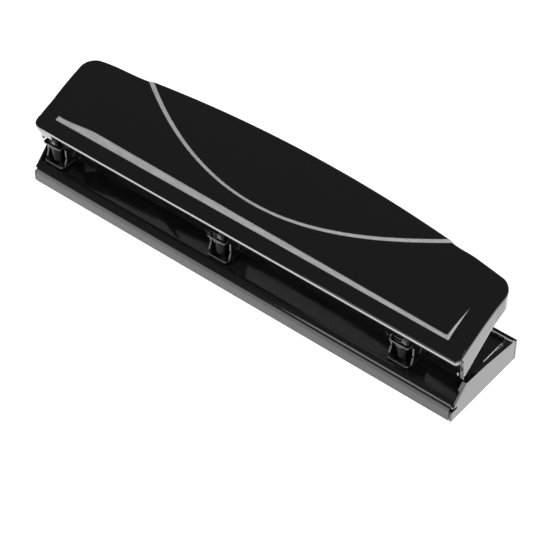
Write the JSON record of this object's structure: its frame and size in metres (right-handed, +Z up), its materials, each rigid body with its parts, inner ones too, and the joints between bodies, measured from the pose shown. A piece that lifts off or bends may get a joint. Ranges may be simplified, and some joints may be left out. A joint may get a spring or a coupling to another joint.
{
  "type": "three hole punch",
  "caption": "Desk hole punch with a pressed steel base, lever-driven punch heads under a full-length press handle, and a drop-down tray for the paper discs.",
  "frame": {"origin": "on the table, under the middle of the whole punch seen from above", "axes": "+X along the punch, -Y towards the side where the paper goes in, +Z up"},
  "size_m": [0.2596, 0.0552, 0.0544],
  "materials": {
    "black_enamel": "gloss",
    "black_plastic": "satin",
    "foot_rubber": "matte",
    "dark_steel": "polished black oxide",
    "hard_steel": "ground",
    "spring_steel": "satin"
  },
  "bodies": {
    "base": {"deck_plate": "black_enamel", "base_frame": "black_enamel", "rubber_feet": "foot_rubber", "bracket_rivets": "dark_steel", "head_bracket_left": "black_enamel", "head_bracket_middle": "black_enamel", "head_bracket_right": "black_enamel", "die_bush_left": "hard_steel", "die_bush_middle": "hard_steel", "die_bush_right": "hard_steel", "return_spring_left": "spring_steel", "return_spring_middle": "spring_steel", "return_spring_right": "spring_steel", "pivot_pin_left": "dark_steel", "pivot_pin_middle": "dark_steel", "pivot_pin_right": "dark_steel"},
    "handle": {"handle_shell": "black_enamel", "lever_lug_left": "black_enamel", "lever_lug_middle": "black_enamel", "lever_lug_right": "black_enamel"},
    "tray": {"chip_tray": "black_plastic"},
    "punch_left": {"punch_pin_left": "dark_steel", "retaining_clip_left": "spring_steel"},
    "punch_middle": {"punch_pin_middle": "dark_steel", "retaining_clip_middle": "spring_steel"},
    "punch_right": {"punch_pin_right": "dark_steel", "retaining_clip_right": "spring_steel"}
  },
  "joints": [
    {"name": "handle_press", "type": "hinge", "parent": "base", "child": "handle", "pos_m": [0, -0.0237, 0.0316], "axis": [-1, 0, 0], "range_deg": [0, 25], "stiffness_Nm_per_rad": 0.12, "springref_deg": -34.38},
    {"name": "tray_open", "type": "hinge", "parent": "base", "child": "tray", "pos_m": [0, 0.0166, 0.0026], "axis": [1, 0, 0], "range_deg": [0, 75]},
    {"name": "punch_left_stroke", "type": "slide", "parent": "base", "child": "punch_left", "axis": [0, 0, -1], "range_m": [0, 0.0036], "stiffness_N_per_m": 500, "springref_m": -0.003, "deforming": ["return_spring_left"]},
    {"name": "punch_middle_stroke", "type": "slide", "parent": "base", "child": "punch_middle", "axis": [0, 0, -1], "range_m": [0, 0.0036], "stiffness_N_per_m": 500, "springref_m": -0.003, "deforming": ["return_spring_middle"]},
    {"name": "punch_right_stroke", "type": "slide", "parent": "base", "child": "punch_right", "axis": [0, 0, -1], "range_m": [0, 0.0036], "stiffness_N_per_m": 500, "springref_m": -0.003, "deforming": ["return_spring_right"]}
  ],
  "couplings": [
    {"joint": "punch_left_stroke", "follows": "handle_press", "m_per_rad": 0.00825},
    {"joint": "punch_middle_stroke", "follows": "handle_press", "m_per_rad": 0.00825},
    {"joint": "punch_right_stroke", "follows": "handle_press", "m_per_rad": 0.00825}
  ]
}
